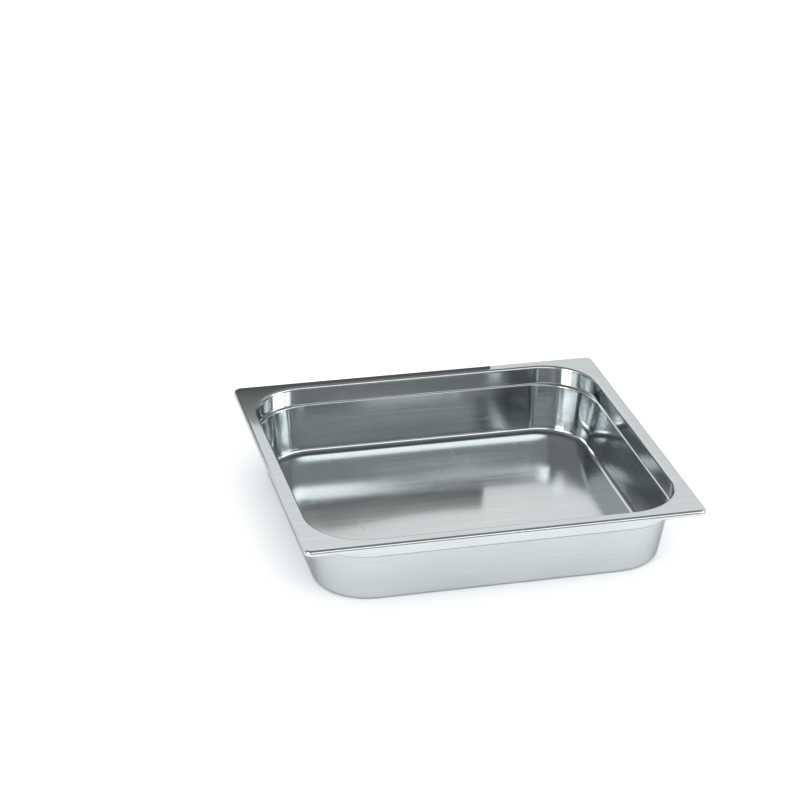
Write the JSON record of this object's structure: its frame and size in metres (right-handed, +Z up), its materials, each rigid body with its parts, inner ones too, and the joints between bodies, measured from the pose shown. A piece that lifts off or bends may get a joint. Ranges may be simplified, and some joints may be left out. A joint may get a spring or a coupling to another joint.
{
  "type": "gastronorm food pan",
  "caption": "Shallow rectangular stainless steel food pan, size 2/3 and 65 mm deep, with tapered walls, a stacking ledge and a flat rim with a turned-down lip.",
  "frame": {"origin": "centre of the base's underside, which is also the bottom centre of the bounding box", "axes": "+X along the long side of the rim, +Y along the short side towards the rear, +Z up out of the open well"},
  "size_m": [0.354, 0.325, 0.065],
  "materials": {
    "steel": "bright stainless steel, fine brushed lines on the walls, smoother on the rim"
  },
  "bodies": {
    "root": {"base_panel": "steel", "front_wall": "steel", "rear_wall": "steel", "left_wall": "steel", "right_wall": "steel", "front_left_wall_corner": "steel", "front_right_wall_corner": "steel", "rear_left_wall_corner": "steel", "rear_right_wall_corner": "steel", "front_rim": "steel", "rear_rim": "steel", "left_rim": "steel", "right_rim": "steel", "front_left_rim_corner": "steel", "front_right_rim_corner": "steel", "rear_left_rim_corner": "steel", "rear_right_rim_corner": "steel"}
  },
  "joints": []
}
